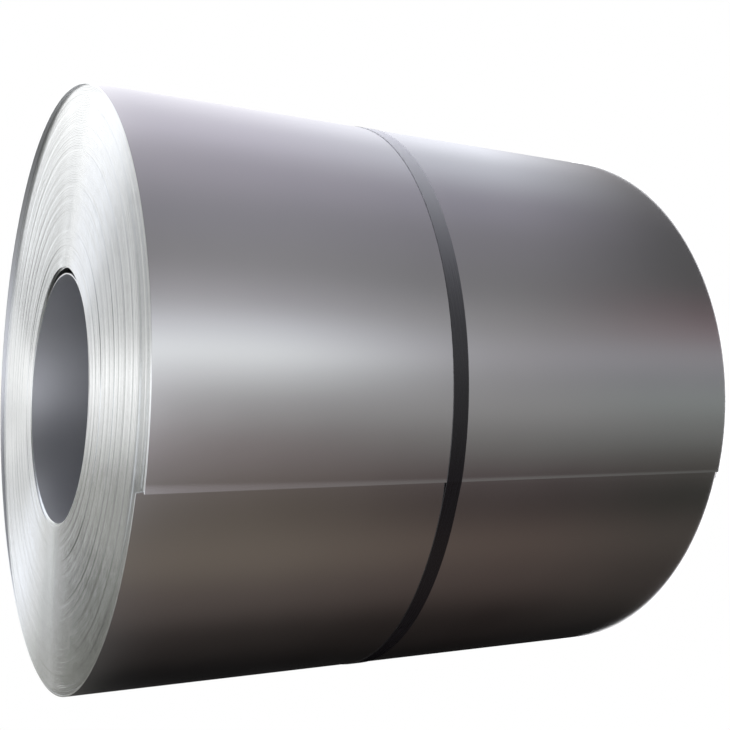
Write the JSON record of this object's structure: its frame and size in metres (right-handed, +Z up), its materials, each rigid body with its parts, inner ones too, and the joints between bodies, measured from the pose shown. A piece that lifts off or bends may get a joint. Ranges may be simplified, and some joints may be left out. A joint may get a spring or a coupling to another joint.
{
  "type": "steel_coil",
  "caption": "Coil of bare steel strip standing on its end, axis upright, bore open at both ends, one dark steel strap round its middle",
  "frame": {"origin": "on the floor under the middle of the coil", "axes": "+Z up along the coil's axis to the near end in the picture, -Y towards the front with the strip's cut end, +X towards the top of the picture"},
  "size_m": [1.2193, 1.2212, 1.262],
  "materials": {
    "steel_strip": null,
    "strap_steel": null,
    "seal_steel": null
  },
  "bodies": {
    "root": {"coil": "steel_strip", "strap": "strap_steel", "strap_seal": "seal_steel"}
  },
  "joints": []
}
